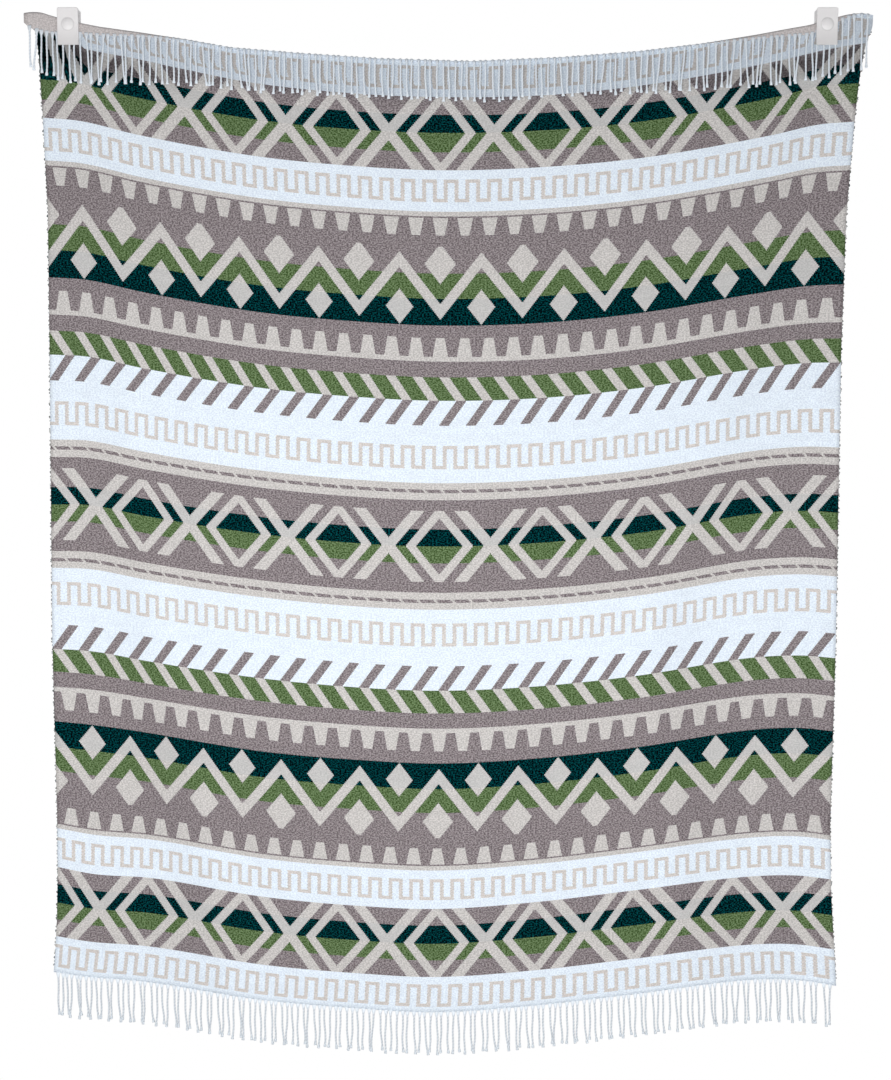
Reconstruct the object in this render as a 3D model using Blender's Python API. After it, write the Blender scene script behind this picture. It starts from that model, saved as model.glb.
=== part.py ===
"""A fringed blanket hung by its two top corners from a pair of wall clips."""
import bpy
import bmesh
import numpy as np

# Metres. X runs across, Y away from the viewer with the wall at 0, and Z up from the clips' mid-height.
CLOTH_LENGTH = 1.4814        # from hem to hem along the cloth
CLOTH_THICK = 0.002
CLOTH_Y = -0.0113            # the cloth's middle where the clips hold it
EYE = (-0.0031, 2.695, -0.5093)   # where the photograph was taken from: across, away from the cloth, up
TOP_MID_X = 0.002            # middle of the top edge
TOP_HALF_X = 0.6434          # half the top edge, as hung
BOTTOM_HALF_X = 0.628        # half the bottom hem, as hung

# Heights along each crosswise yarn: down = distance below the top hem on the flat cloth.
SPREAD = (-1.0, -0.9, -0.75, -0.45, -0.2, 0.0, 0.25, 0.5, 0.8, 0.92, 1.0)
HEIGHTS = (
    # down, height at each of SPREAD
    (0.058, -0.008, -0.030, -0.048, -0.085, -0.101, -0.106, -0.103, -0.086, -0.051, -0.034, -0.025),
    (0.110, -0.079, -0.085, -0.106, -0.139, -0.154, -0.159, -0.155, -0.140, -0.105, -0.088, -0.085),
    (0.165, -0.136, -0.141, -0.162, -0.194, -0.209, -0.215, -0.210, -0.195, -0.162, -0.146, -0.142),
    (0.450, -0.428, -0.432, -0.451, -0.481, -0.495, -0.501, -0.497, -0.481, -0.451, -0.442, -0.440),
    (0.741, -0.728, -0.729, -0.746, -0.774, -0.789, -0.794, -0.788, -0.772, -0.742, -0.738, -0.741),
    (0.950, -0.939, -0.943, -0.959, -0.986, -1.001, -1.006, -0.999, -0.982, -0.953, -0.950, -0.954),
    (1.150, -1.140, -1.148, -1.159, -1.190, -1.203, -1.209, -1.200, -1.182, -1.154, -1.151, -1.157),
    (1.300, -1.290, -1.302, -1.308, -1.339, -1.354, -1.359, -1.348, -1.329, -1.306, -1.304, -1.310),
    (1.481, -1.480, -1.488, -1.496, -1.526, -1.540, -1.547, -1.536, -1.517, -1.493, -1.494, -1.503),
)

# How far a lengthwise yarn hangs to the side of its even place, in shares of half the width.
DRIFT_SPREAD = (-1.0, -0.9, -0.6, -0.25, 0.0, 0.5, 0.8, 0.9, 1.0)
DRIFT = (
    # down, drift at each of DRIFT_SPREAD
    (0.110, 0.000, -0.009, -0.020, -0.025, -0.021, -0.007, 0.000, -0.003, 0.000),
    (0.450, 0.000, -0.003, -0.012, -0.017, -0.014, -0.002, -0.006, -0.008, 0.000),
    (0.741, 0.000, -0.003, -0.020, -0.019, -0.014, 0.004, -0.005, -0.003, 0.000),
    (1.100, 0.000, 0.004, -0.014, -0.015, -0.013, -0.007, -0.007, -0.005, 0.000),
    (1.360, 0.000, -0.008, -0.016, -0.025, -0.021, -0.017, -0.011, -0.009, 0.000),
    (1.481, 0.000, -0.017, -0.021, -0.032, -0.030, -0.018, -0.010, -0.014, 0.000),
)

# The folded top edge: crest height, how much cloth is turned over, and the radius of the turn.
TOP_EDGE = (
    # across, crest, turned, radius
    (-1.000, 0.0195, 0.0290, 0.0035),
    (-0.980, 0.0212, 0.0305, 0.0032),
    (-0.960, 0.0205, 0.0300, 0.0024),
    (-0.930, 0.0158, 0.0265, 0.0016),
    (-0.895, 0.0096, 0.0220, 0.0016),
    (-0.858, 0.0050, 0.0190, 0.0016),
    (-0.845, 0.0036, 0.0183, 0.0016),
    (-0.810, -0.0006, 0.0165, 0.0020),
    (-0.712, -0.0090, 0.0118, 0.0028),
    (-0.600, -0.0195, 0.0070, 0.0030),
    (-0.494, -0.0312, 0.0050, 0.0033),
    (-0.327, -0.0397, 0.0045, 0.0033),
    (-0.140, -0.0475, 0.0042, 0.0033),
    (0.070, -0.0515, 0.0042, 0.0033),
    (0.275, -0.0460, 0.0045, 0.0033),
    (0.459, -0.0368, 0.0050, 0.0033),
    (0.600, -0.0258, 0.0070, 0.0030),
    (0.730, -0.0120, 0.0115, 0.0026),
    (0.805, -0.0030, 0.0150, 0.0020),
    (0.845, 0.0012, 0.0165, 0.0016),
    (0.858, 0.0030, 0.0168, 0.0016),
    (0.892, 0.0090, 0.0140, 0.0016),
    (0.930, 0.0158, 0.0085, 0.0016),
    (0.940, 0.0173, 0.0078, 0.0018),
    (0.950, 0.0183, 0.0070, 0.0020),
    (0.960, 0.0190, 0.0061, 0.0023),
    (0.975, 0.0193, 0.0052, 0.0026),
    (1.000, 0.0170, 0.0038, 0.0030),
)

# Where the two side edges hang.
SIDES = (
    # down, left, right
    (0.000, -0.6414, 0.6453), (0.030, -0.6414, 0.6405), (0.055, -0.6260, 0.6335), (0.085, -0.6212, 0.6294),
    (0.110, -0.6202, 0.6264), (0.165, -0.6175, 0.6210), (0.300, -0.6132, 0.6120), (0.500, -0.6152, 0.6089),
    (0.741, -0.6187, 0.6101), (0.950, -0.6216, 0.6110), (1.120, -0.6209, 0.6096), (1.230, -0.6204, 0.6088),
    (1.330, -0.6218, 0.6124), (1.400, -0.6247, 0.6177), (1.450, -0.6286, 0.6218), (1.4814, -0.6318, 0.6244),
)

# Soft folds, each a ridge towards the viewer: where it lies, and how deep and wide it is
# (places and widths in shares of half the width).
FOLDS = (
    # fold, down, across, depth, width
    ("left", 0.15, -0.86, 0.000, 0.060), ("left", 0.60, -0.76, 0.018, 0.080),
    ("left", 0.90, -0.70, 0.025, 0.085), ("left", 1.28, -0.55, 0.028, 0.090),
    ("left", 1.49, -0.50, 0.024, 0.100),
    ("right", 0.15, 0.86, 0.000, 0.060), ("right", 0.60, 0.66, 0.020, 0.080),
    ("right", 0.90, 0.50, 0.024, 0.085), ("right", 1.28, 0.57, 0.026, 0.090),
    ("right", 1.49, 0.62, 0.022, 0.100),
    ("middle", 0.20, 0.00, 0.000, 0.300), ("middle", 0.80, -0.06, 0.012, 0.260),
    ("middle", 1.49, 0.02, 0.018, 0.240),
    ("left_edge", 1.10, -1.05, 0.000, 0.120), ("left_edge", 1.49, -1.02, 0.016, 0.110),
    ("right_edge", 1.10, 1.05, 0.000, 0.120), ("right_edge", 1.49, 1.02, 0.014, 0.110),
)

ROW_STEP = 0.0004            # least step between the rows round the turn
BELOW_TURN = (0.010, 0.022)  # rows just below the turn
FRONT_ROWS = (0.058, 0.083, 0.110, 0.165)

STRANDS = 140                # in each fringe
STRAND_ROOT = 0.0024         # width where it leaves the strip
STRAND_TIP = 0.0034
STRAND_THICK = 0.0020
STRIP_TALL = 0.0038          # the fringe's strip: the last of the cloth's length at each hem
STRIP_GAP = 0.0006           # between it and the rest of the cloth
STRAND_SWAY = 0.0020         # sideways drift of a tip
TOP_TIPS = (
    # across, height where a strand ends
    (-1.0, -0.050), (-0.975, -0.066), (-0.946, -0.072), (-0.90, -0.081), (-0.85, -0.0853), (-0.65, -0.0862),
    (-0.567, -0.0875), (-0.423, -0.0980), (-0.25, -0.1028), (0.0, -0.1100), (0.14, -0.1115), (0.25, -0.1035),
    (0.40, -0.1005), (0.52, -0.0984), (0.67, -0.0912), (0.80, -0.0859), (0.86, -0.0808), (0.905, -0.0742),
    (0.95, -0.0680), (1.0, -0.0620),
)
BOTTOM_STRAND = 0.0640

CLIP_X = 0.575
CLIP_WIDE = 0.032
CLIP_TOP = 0.027
CLIP_FOOT = -0.028
CLIP_SEAT = 0.0170           # underside of the clip's head, over the cloth's crest
BASE_THICK = 0.0100
HEAD_THICK = 0.0155
JAW_BACK = -0.0158
JAW_FRONT = -0.0204
HEAD_CHAMFER = 0.0030
JAW_CHAMFER = 0.0018
JAW_EDGE = 0.0007
DOME_R = 0.0095
DOME_TALL = 0.0026
DOME_Z = 0.0025


def curve(at, knots, values):
    """Smooth curve through a table, its slope at each knot taken from the knots on either side."""
    at, knots, values = (np.asarray(a, float) for a in (at, knots, values))
    step = np.diff(knots)
    slope = np.diff(values, axis=0) / step.reshape((-1,) + (1,) * (values.ndim - 1))
    tangent = np.concatenate([slope[:1], 0.5 * (slope[1:] + slope[:-1]), slope[-1:]])
    i = np.clip(np.searchsorted(knots, at) - 1, 0, len(step) - 1)
    s = np.clip((at - knots[i]) / step[i], 0.0, 1.0)
    return ((2 * s**3 - 3 * s**2 + 1) * values[i] + (s**3 - 2 * s**2 + s) * step[i] * tangent[i]
            + (3 * s**2 - 2 * s**3) * values[i + 1] + (s**3 - s**2) * step[i] * tangent[i + 1])


def top_edge(across):
    table = np.array(TOP_EDGE)
    return [np.interp(across, table[:, 0], table[:, k]) for k in (1, 2, 3)]


def ridge_depth(across, down):
    """How far the cloth stands forward of the clips' plane."""
    depth = np.zeros(np.broadcast(across, down).shape)
    for name in ("left", "right", "middle", "left_edge", "right_edge"):
        rows = np.array([row[1:] for row in FOLDS if row[0] == name])
        place, deep, wide = (np.interp(down, rows[:, 0], rows[:, k]) for k in (1, 2, 3))
        depth = depth + deep * np.exp(-(((across - place) / wide) ** 2) / 2)
    return depth


def table_at(across, down, spread, table, above=None):
    """A table's value: each row a smooth curve across, read straight between the rows down the cloth."""
    rows = [curve(across, spread, row[1:]) for row in table]
    value = rows[0] if above is None else above
    for k in range(len(rows) - 1):
        share = np.clip((down - table[k][0]) / (table[k + 1][0] - table[k][0]), 0.0, 1.0)
        value = np.where(down > table[k][0], rows[k] + share * (rows[k + 1] - rows[k]), value)
    return value


def hang_height(across, down):
    """Height of the front layer: straight from the turn to the table's first row, then by the table."""
    crest, turned, radius = top_edge(across)
    start = crest - radius - CLOTH_THICK / 2
    first = curve(across, SPREAD, HEIGHTS[0][1:])
    share = np.clip((down - turned) / (HEIGHTS[0][0] - turned), 0.0, 1.0)
    height = table_at(across, down, SPREAD, HEIGHTS, above=start + share * (first - start))
    return height - np.clip(down - HEIGHTS[-1][0], 0.0, None)


def hang_side(across, down):
    """Sideways place: between the two side edges, with each yarn's drift."""
    sides = np.array(SIDES)
    left, right = (np.interp(down, sides[:, 0], sides[:, k]) for k in (1, 2))
    share = across + table_at(across, down, DRIFT_SPREAD, DRIFT)
    top = TOP_MID_X + TOP_HALF_X * share
    hung = left + (right - left) * (share + 1) / 2
    return top + (hung - top) * np.clip(down / 0.03, 0.0, 1.0)


def place(across, down):
    """A point of the cloth's middle layer: down the front, or over the turn and down again where it is folded."""
    across, down = np.broadcast_arrays(np.asarray(across, float), np.asarray(down, float))
    crest, turned, radius = top_edge(across)
    back = turned - down                        # how far past the turn's start
    arc = np.clip(back, 0.0, np.pi * radius)
    over = np.clip(back - np.pi * radius, 0.0, None)
    x = hang_side(across, np.maximum(down, turned))
    z = np.where(back > 0, crest - radius - CLOTH_THICK / 2 + radius * np.sin(arc / radius) - over,
                 hang_height(across, down))
    # The tables hold places as seen from the eye, so a ridge is drawn in toward it as it stands forward.
    depth = ridge_depth(across, np.where(back > 0, turned + over, down))
    x = x + (EYE[0] - x) * depth / EYE[1]
    z = z + (EYE[2] - z) * depth / EYE[1]
    y = CLOTH_Y - depth - radius * (1 - np.cos(arc / radius))
    return np.stack([x, y, z], axis=-1)


def facing(across, down):
    """Unit normal of the middle layer, towards the cloth's patterned side."""
    e = 2e-4
    along = place(across + e, down) - place(across - e, down)
    fall = place(across, down + e) - place(across, down - e)
    normal = np.cross(fall, along)
    return normal / np.linalg.norm(normal, axis=-1, keepdims=True)


def clear_scene():
    for kept in (bpy.data.objects, bpy.data.meshes, bpy.data.materials):
        for block in list(kept):
            kept.remove(block)


def material(name, colour, rough):
    mat = bpy.data.materials.new(name)
    mat.use_nodes = True
    shader = mat.node_tree.nodes["Principled BSDF"]
    shader.inputs["Base Color"].default_value = (*colour, 1.0)
    shader.inputs["Roughness"].default_value = rough
    return mat


def add_object(name, mesh, mat):
    mesh.materials.clear()
    mesh.materials.append(mat)
    obj = bpy.data.objects.new(name, mesh)
    bpy.context.scene.collection.objects.link(obj)
    return obj


def closed_mesh(name, verts, faces):
    mesh = bpy.data.meshes.new(name)
    mesh.from_pydata([tuple(v) for v in verts], [], faces)
    bm = bmesh.new()
    bm.from_mesh(mesh)
    bmesh.ops.recalc_face_normals(bm, faces=bm.faces)
    bm.to_mesh(mesh)
    bm.free()
    return mesh


def cloth_rows(across):
    """Rows of the cloth for each column: its turned end, the turn, then down the front to the bottom hem."""
    _, turned, radius = top_edge(across)
    used = np.minimum(np.pi * radius, 0.8 * turned)
    edge = STRIP_TALL + STRIP_GAP
    rows = [np.full_like(across, edge)] + [np.maximum(turned - used * share, edge + ROW_STEP * (k + 1))
                                           for k, share in enumerate((1.0, 0.75, 0.5, 0.25, 0.0))]
    rows += [turned + step for step in BELOW_TURN]
    front = np.linspace(FRONT_ROWS[-1], CLOTH_LENGTH - edge, 25)[1:]
    rows += [np.full_like(across, down) for down in (*FRONT_ROWS, *front)]
    return np.array(rows)


def make_blanket(mat):
    """The cloth: one sheet with its turned top end, closed round its four edges."""
    knots = [row[0] for row in TOP_EDGE]
    across = [knots[0]]
    for a, b in zip(knots, knots[1:]):
        across += list(np.linspace(a, b, int(np.ceil((b - a) / 0.047)) + 1)[1:])
    across = np.array(across)
    downs = cloth_rows(across)
    grid = np.broadcast_to(across, downs.shape)
    middle, normal = place(grid, downs), facing(grid, downs)
    rows, cols = downs.shape
    front = (middle + normal * CLOTH_THICK / 2).reshape(-1, 3)
    back = (middle - normal * CLOTH_THICK / 2).reshape(-1, 3)
    count = rows * cols
    faces = []
    for r in range(rows - 1):
        for c in range(cols - 1):
            a, b, d, e = r * cols + c, r * cols + c + 1, (r + 1) * cols + c + 1, (r + 1) * cols + c
            faces.append((a, b, d, e))
            faces.append((count + e, count + d, count + b, count + a))
    rim = ([c for c in range(cols)] + [r * cols + cols - 1 for r in range(1, rows)]
           + [(rows - 1) * cols + c for c in range(cols - 2, -1, -1)]
           + [r * cols for r in range(rows - 2, 0, -1)])
    for a, b in zip(rim, rim[1:] + rim[:1]):
        faces.append((b, a, count + a, count + b))
    return add_object("blanket", closed_mesh("blanket", np.concatenate([front, back]), faces), mat)


def fringe(name, strip_rows, strand_rows, mat):
    """A narrow strip with a strand out of its far edge at every place: one closed skin."""
    verts, faces = [], []
    root = []        # four corners of each column: near front, near back, far front, far back
    for near_front, near_back, far_front, far_back in strip_rows:
        root.append(range(len(verts), len(verts) + 4))
        verts += [near_front, near_back, far_front, far_back]
    for a, b in zip(root, root[1:]):
        faces += [(a[0], b[0], b[2], a[2]), (b[1], a[1], a[3], b[3]), (a[1], b[1], b[0], a[0])]
    first, last = root[0], root[-1]
    faces += [(first[0], first[2], first[3], first[1]), (last[1], last[3], last[2], last[0])]
    for i in range(STRANDS):
        left, right = root[2 * i], root[2 * i + 1]
        if i:
            last = root[2 * i - 1]
            faces.append((last[2], left[2], left[3], last[3]))
        ring = [left[2], right[2], right[3], left[3]]
        for corners in strand_rows[i]:
            new = list(range(len(verts), len(verts) + 4))
            verts += list(corners)
            for k in range(4):
                faces.append((ring[k], ring[(k + 1) % 4], new[(k + 1) % 4], new[k]))
            ring = new
        faces.append(tuple(ring))
    return add_object(name, closed_mesh(name, verts, faces), mat)


def strand_places():
    """Place of each strand across the cloth, its drift and its own length, from fixed sine sums."""
    n = np.arange(STRANDS)
    across = -0.986 + 1.972 * (n + 0.12 * np.sin(2.1 * n)) / (STRANDS - 1)
    drift = STRAND_SWAY * (0.6 * np.sin(1.7 * n + 0.4) + 0.4 * np.sin(3.1 * n))
    longer = 0.0022 * np.sin(2.7 * n + 1.0)
    return np.clip(across, -0.988, 0.988), drift, longer


def make_top_fringe(mat):
    """Strands over the turned end: they leave its strip and fall in front of the cloth."""
    across, drift, longer = strand_places()
    ends = np.array(TOP_TIPS)
    crest, turned, radius = top_edge(across)
    fall = crest - radius - CLOTH_THICK / 2 - np.interp(across, ends[:, 0], ends[:, 1])
    lengths = fall - (turned - np.pi * radius) + longer
    strip, strands = [], []
    for i in range(STRANDS):
        length = lengths[i]
        near, far = STRIP_TALL, 0.0
        past = np.pi * radius[i] - turned[i]     # to the end of the turn, from the cloth's edge
        first = max(0.07 * length, min(past + 0.004, 0.4 * length), 0.006)
        half = STRAND_ROOT / 2 / TOP_HALF_X
        for side in (-1, 1):
            column = []
            for down in (near, far):
                middle, normal = place(across[i] + side * half, down), facing(across[i] + side * half, down)
                column += [middle + normal * CLOTH_THICK / 2, middle - normal * CLOTH_THICK / 2]
            strip.append(column)
        rows = []
        for share in (first / length, 0.55, 1.0):
            down = far - share * length
            middle, normal = place(across[i], down), facing(across[i], down)
            wide = STRAND_ROOT + (STRAND_TIP - STRAND_ROOT) * share
            shift = drift[i] * share**1.5
            left, right = (middle + np.array([shift + s * wide / 2, 0, 0]) for s in (-1, 1))
            lift = normal * STRAND_THICK / 2
            rows.append([left + lift, right + lift, right - lift, left - lift])
        strands.append(rows)
    return fringe("top_fringe", strip, strands, mat)


def make_bottom_fringe(mat):
    """Strands that hang straight down from the bottom hem."""
    across, drift, longer = strand_places()
    drift, longer = np.roll(drift, 17), np.roll(longer, 31)
    strip, strands = [], []
    half = STRAND_ROOT / 2 / BOTTOM_HALF_X
    thick = np.array([0, CLOTH_THICK / 2, 0])
    for i in range(STRANDS):
        for side in (-1, 1):
            column = []
            for down in (CLOTH_LENGTH - STRIP_TALL, CLOTH_LENGTH):
                middle = place(across[i] + side * half, down)
                column += [middle - thick, middle + thick]
            strip.append(column)
        tip = place(across[i], CLOTH_LENGTH) + np.array(
            [drift[i], 0.0, -(BOTTOM_STRAND + longer[i])])
        rows = [[tip + np.array([s * STRAND_TIP / 2, t * STRAND_THICK / 2, 0])
                 for s, t in ((-1, -1), (1, -1), (1, 1), (-1, 1))]]
        strands.append(rows)
    return fringe("bottom_fringe", strip, strands, mat)


def box(low, high):
    verts = [(x, y, z) for x in (low[0], high[0]) for y in (low[1], high[1]) for z in (low[2], high[2])]
    faces = [(0, 1, 3, 2), (4, 6, 7, 5), (0, 4, 5, 1), (2, 3, 7, 6), (0, 2, 6, 4), (1, 5, 7, 3)]
    return verts, faces


def chamfer(mesh, chosen, size):
    """Cut a plain chamfer along the edges that the test picks."""
    bm = bmesh.new()
    bm.from_mesh(mesh)
    edges = [e for e in bm.edges if chosen(*(v.co for v in e.verts))]
    bmesh.ops.bevel(bm, geom=edges, offset=size, segments=1, affect="EDGES", profile=0.5)
    bm.to_mesh(mesh)
    bm.free()


def make_clip_base(name, centre, mat):
    """Back plate with its deeper head over the cloth, the head's two top corners cut off."""
    w = CLIP_WIDE / 2
    profile = [(0.0, CLIP_FOOT), (-BASE_THICK, CLIP_FOOT), (-BASE_THICK, CLIP_SEAT),
               (-HEAD_THICK, CLIP_SEAT), (-HEAD_THICK, CLIP_TOP), (0.0, CLIP_TOP)]
    verts = [(centre + s * w, y, z) for s in (-1, 1) for y, z in profile]
    n = len(profile)
    faces = [tuple(range(n)), tuple(range(2 * n - 1, n - 1, -1))]
    faces += [(i, n + i, n + (i + 1) % n, (i + 1) % n) for i in range(n)]
    mesh = closed_mesh(name, verts, faces)
    chamfer(mesh, lambda a, b: min(a.z, b.z) > CLIP_TOP - 1e-6 and abs(a.x - b.x) < 1e-6, HEAD_CHAMFER)
    return add_object(name, mesh, mat)


def dome(centre):
    """A low round button: a cap of a sphere with a short plug behind it."""
    ring, steps = 28, 5
    big = (DOME_R**2 + DOME_TALL**2) / (2 * DOME_TALL)
    verts, faces = [(centre, JAW_FRONT - DOME_TALL, DOME_Z)], []
    reach = np.arcsin(DOME_R / big)
    levels = [(big * np.sin(reach * k / steps), JAW_FRONT - DOME_TALL + big * (1 - np.cos(reach * k / steps)))
              for k in range(1, steps + 1)] + [(DOME_R, JAW_FRONT + 0.0015)]
    for r, y in levels:
        verts += [(centre + r * np.cos(a), y, DOME_Z + r * np.sin(a))
                  for a in np.linspace(0, 2 * np.pi, ring, endpoint=False)]
    for i in range(ring):
        j = (i + 1) % ring
        faces.append((0, 1 + i, 1 + j))
        for k in range(len(levels) - 1):
            faces.append((1 + k * ring + i, 1 + (k + 1) * ring + i, 1 + (k + 1) * ring + j, 1 + k * ring + j))
    faces.append(tuple(1 + (len(levels) - 1) * ring + i for i in range(ring)))
    return closed_mesh("dome", verts, faces)


def make_clip_jaw(name, centre, mat):
    """Front plate that presses the cloth to the back plate, with its round button."""
    w = CLIP_WIDE / 2
    mesh = closed_mesh(name, *box((centre - w, JAW_FRONT, CLIP_FOOT), (centre + w, JAW_BACK, CLIP_TOP)))
    chamfer(mesh, lambda a, b: min(a.z, b.z) > CLIP_TOP - 1e-6 and abs(a.x - b.x) < 1e-6, JAW_CHAMFER)
    chamfer(mesh, lambda a, b: max(a.y, b.y) < JAW_FRONT + 1e-6, JAW_EDGE)
    jaw = add_object(name, mesh, mat)
    button = add_object(name + "_dome", dome(centre), mat)
    join = jaw.modifiers.new("button", "BOOLEAN")
    join.operation, join.solver, join.object = "UNION", "EXACT", button
    view = bpy.context.evaluated_depsgraph_get()
    joined = bpy.data.meshes.new_from_object(jaw.evaluated_get(view))
    jaw.modifiers.clear()
    jaw.data = joined
    bpy.data.objects.remove(button)
    return jaw


def main():
    clear_scene()
    cloth = material("cloth", (0.22, 0.19, 0.17), 0.9)
    yarn = material("fringe_yarn", (0.68, 0.72, 0.80), 0.85)
    plastic = material("clip_plastic", (0.72, 0.69, 0.65), 0.45)
    make_blanket(cloth)
    make_top_fringe(yarn)
    make_bottom_fringe(yarn)
    for side, centre in (("left", -CLIP_X), ("right", CLIP_X)):
        make_clip_base(side + "_clip_base", centre, plastic)
        make_clip_jaw(side + "_clip_jaw", centre, plastic)


main()
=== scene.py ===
import math
import bmesh
import bpy
import numpy as np
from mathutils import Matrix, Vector


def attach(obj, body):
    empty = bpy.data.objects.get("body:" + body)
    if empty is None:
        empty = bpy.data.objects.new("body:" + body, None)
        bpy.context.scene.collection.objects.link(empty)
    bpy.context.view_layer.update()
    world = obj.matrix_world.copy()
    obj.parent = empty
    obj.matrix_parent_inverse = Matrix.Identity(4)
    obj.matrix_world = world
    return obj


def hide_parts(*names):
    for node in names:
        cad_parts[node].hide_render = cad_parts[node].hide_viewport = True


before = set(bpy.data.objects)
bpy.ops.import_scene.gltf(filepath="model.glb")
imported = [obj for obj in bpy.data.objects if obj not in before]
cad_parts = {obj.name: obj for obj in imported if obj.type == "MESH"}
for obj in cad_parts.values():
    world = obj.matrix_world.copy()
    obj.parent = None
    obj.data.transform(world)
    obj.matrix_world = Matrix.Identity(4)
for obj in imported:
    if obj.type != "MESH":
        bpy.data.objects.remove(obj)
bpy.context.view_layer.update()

# The hang of the cloth
hang = {
    "length": 1.4814, "thick": 0.002, "heldAtY": -0.0113, "topMiddle": 0.002, "topHalf": 0.6434,
    "eye": (-0.0031, 2.695, -0.5093),
    "spread": (-1.0, -0.9, -0.75, -0.45, -0.2, 0.0, 0.25, 0.5, 0.8, 0.92, 1.0),
    # distance down the flat cloth, then its height at each place of the spread
    "heights": (
        (0.058, -0.008, -0.030, -0.048, -0.085, -0.101, -0.106, -0.103, -0.086, -0.051, -0.034, -0.025),
        (0.110, -0.079, -0.085, -0.106, -0.139, -0.154, -0.159, -0.155, -0.140, -0.105, -0.088, -0.085),
        (0.165, -0.136, -0.141, -0.162, -0.194, -0.209, -0.215, -0.210, -0.195, -0.162, -0.146, -0.142),
        (0.450, -0.428, -0.432, -0.451, -0.481, -0.495, -0.501, -0.497, -0.481, -0.451, -0.442, -0.440),
        (0.741, -0.728, -0.729, -0.746, -0.774, -0.789, -0.794, -0.788, -0.772, -0.742, -0.738, -0.741),
        (0.950, -0.939, -0.943, -0.959, -0.986, -1.001, -1.006, -0.999, -0.982, -0.953, -0.950, -0.954),
        (1.150, -1.140, -1.148, -1.159, -1.190, -1.203, -1.209, -1.200, -1.182, -1.154, -1.151, -1.157),
        (1.300, -1.290, -1.302, -1.308, -1.339, -1.354, -1.359, -1.348, -1.329, -1.306, -1.304, -1.310),
        (1.481, -1.480, -1.488, -1.496, -1.526, -1.540, -1.547, -1.536, -1.517, -1.493, -1.494, -1.503),
    ),
    # distance down, then how far a lengthwise yarn hangs beside its even place, in shares of half the width
    "driftSpread": (-1.0, -0.9, -0.6, -0.25, 0.0, 0.5, 0.8, 0.9, 1.0),
    "drift": (
        (0.110, 0.000, -0.009, -0.020, -0.025, -0.021, -0.007, 0.000, -0.003, 0.000),
        (0.450, 0.000, -0.003, -0.012, -0.017, -0.014, -0.002, -0.006, -0.008, 0.000),
        (0.741, 0.000, -0.003, -0.020, -0.019, -0.014, 0.004, -0.005, -0.003, 0.000),
        (1.100, 0.000, 0.004, -0.014, -0.015, -0.013, -0.007, -0.007, -0.005, 0.000),
        (1.360, 0.000, -0.008, -0.016, -0.025, -0.021, -0.017, -0.011, -0.009, 0.000),
        (1.481, 0.000, -0.017, -0.021, -0.032, -0.030, -0.018, -0.010, -0.014, 0.000),
    ),
    # across, height of the crest, cloth turned over it, radius of the turn
    "topEdge": (
        (-1.000, 0.0195, 0.0215, 0.0035),
        (-0.990, 0.0204, 0.0275, 0.0033),
        (-0.975, 0.0212, 0.0325, 0.0031),
        (-0.960, 0.0205, 0.0330, 0.0024),
        (-0.930, 0.0158, 0.0292, 0.0016),
        (-0.895, 0.0096, 0.0232, 0.0016),
        (-0.858, 0.0050, 0.0190, 0.0016),
        (-0.845, 0.0036, 0.0183, 0.0016),
        (-0.810, -0.0006, 0.0165, 0.0020),
        (-0.712, -0.0090, 0.0118, 0.0028),
        (-0.600, -0.0195, 0.0070, 0.0030),
        (-0.494, -0.0312, 0.0050, 0.0033),
        (-0.327, -0.0397, 0.0045, 0.0033),
        (-0.140, -0.0475, 0.0042, 0.0033),
        (0.070, -0.0515, 0.0042, 0.0033),
        (0.275, -0.0460, 0.0045, 0.0033),
        (0.459, -0.0368, 0.0050, 0.0033),
        (0.600, -0.0258, 0.0070, 0.0030),
        (0.730, -0.0120, 0.0115, 0.0026),
        (0.805, -0.0030, 0.0150, 0.0020),
        (0.845, 0.0012, 0.0165, 0.0016),
        (0.858, 0.0030, 0.0168, 0.0016),
        (0.892, 0.0090, 0.0140, 0.0016),
        (0.930, 0.0158, 0.0085, 0.0016),
        (0.940, 0.0173, 0.0078, 0.0018),
        (0.950, 0.0183, 0.0070, 0.0020),
        (0.960, 0.0190, 0.0061, 0.0023),
        (0.975, 0.0193, 0.0052, 0.0026),
        (1.000, 0.0170, 0.0038, 0.0030),
    ),
    # down, left edge, right edge
    "sides": (
        (0.000, -0.6414, 0.6470), (0.030, -0.6414, 0.6440), (0.055, -0.6260, 0.6360),
        (0.085, -0.6212, 0.6302), (0.110, -0.6202, 0.6264), (0.165, -0.6175, 0.6210),
        (0.300, -0.6132, 0.6120), (0.500, -0.6152, 0.6089), (0.741, -0.6187, 0.6101),
        (0.950, -0.6216, 0.6110), (1.120, -0.6209, 0.6096), (1.230, -0.6204, 0.6088),
        (1.330, -0.6218, 0.6124), (1.400, -0.6247, 0.6177), (1.450, -0.6286, 0.6218),
        (1.4814, -0.6318, 0.6244),
    ),
    # each soft fold: down, across, depth, width
    "folds": {
        "left": ((0.15, -0.86, 0.000, 0.060), (0.60, -0.76, 0.018, 0.080), (0.90, -0.70, 0.025, 0.085),
                 (1.28, -0.55, 0.028, 0.090), (1.49, -0.50, 0.024, 0.100)),
        "right": ((0.15, 0.86, 0.000, 0.060), (0.60, 0.66, 0.020, 0.080), (0.90, 0.50, 0.024, 0.085),
                  (1.28, 0.57, 0.026, 0.090), (1.49, 0.62, 0.022, 0.100)),
        "middle": ((0.20, 0.00, 0.000, 0.300), (0.80, -0.06, 0.012, 0.260), (1.49, 0.02, 0.018, 0.240)),
        "leftEdge": ((1.10, -1.05, 0.000, 0.120), (1.49, -1.02, 0.016, 0.110)),
        "rightEdge": ((1.10, 1.05, 0.000, 0.120), (1.49, 1.02, 0.014, 0.110)),
    },
}


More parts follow.
